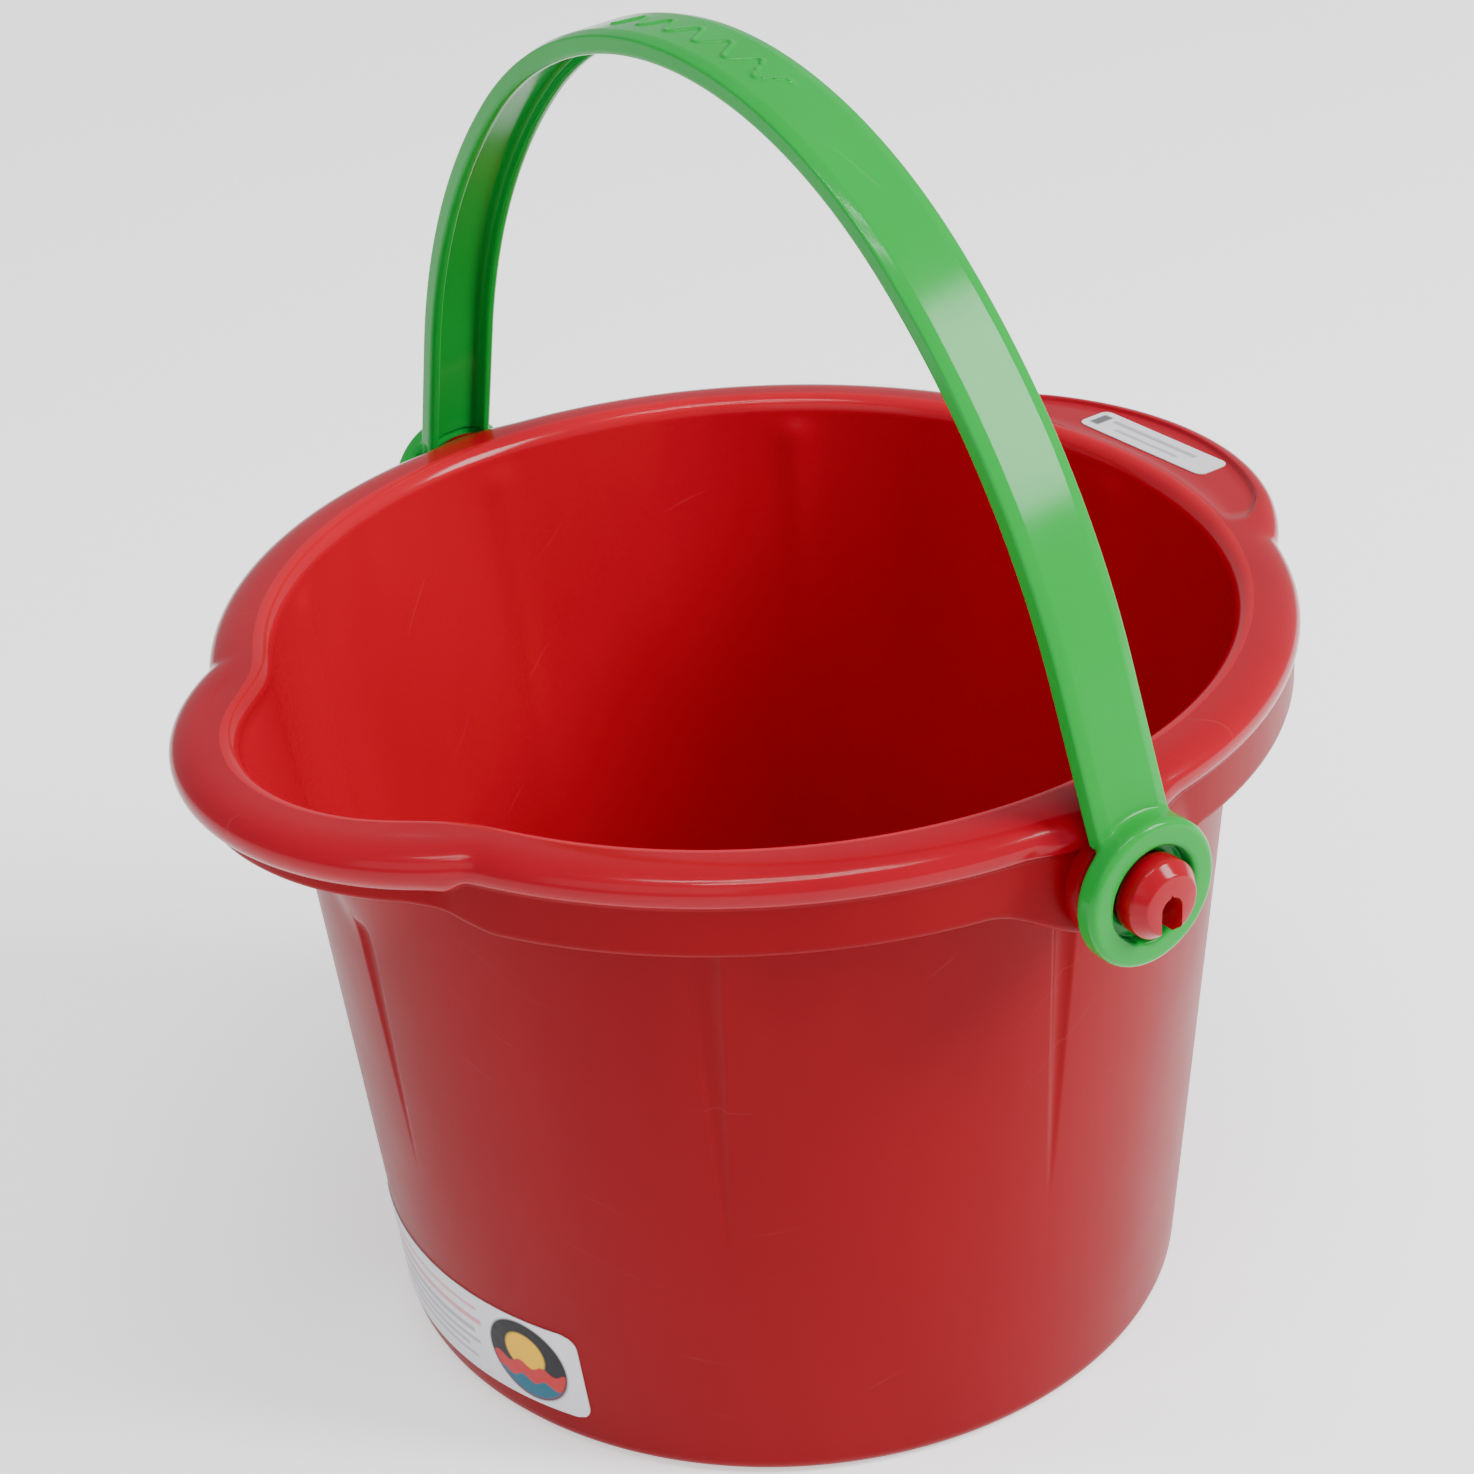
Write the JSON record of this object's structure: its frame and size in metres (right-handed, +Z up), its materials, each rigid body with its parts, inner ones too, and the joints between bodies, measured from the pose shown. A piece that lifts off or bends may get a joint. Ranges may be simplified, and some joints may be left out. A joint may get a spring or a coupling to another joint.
{
  "type": "sand bucket",
  "caption": "Child's beach bucket with a rolled rim, a pouring spout, a grip shelf opposite it and an arched carrying handle that swings on snap pins.",
  "frame": {"origin": "middle of the base's underside, where the bucket stands", "axes": "+Z up through the mouth; the pins and the handle's axis lie along X; the spout points to -Y and the grip shelf to +Y"},
  "size_m": [0.2168, 0.2133, 0.2381],
  "materials": {
    "bucket_plastic": "glossy moulded polypropylene, red",
    "handle_plastic": "glossy moulded polypropylene, bright green",
    "wall_label_film": "printed film label, satin",
    "grip_label_film": "printed film label, satin"
  },
  "bodies": {
    "pail": {"bucket": "bucket_plastic", "wall_label": "wall_label_film", "grip_label": "grip_label_film"},
    "bail": {"handle": "handle_plastic"}
  },
  "joints": [
    {"name": "handle_swing", "type": "hinge", "parent": "pail", "child": "bail", "pos_m": [0, 0, 0.1232], "axis": [1, 0, 0], "range_deg": [-134, 129]}
  ]
}
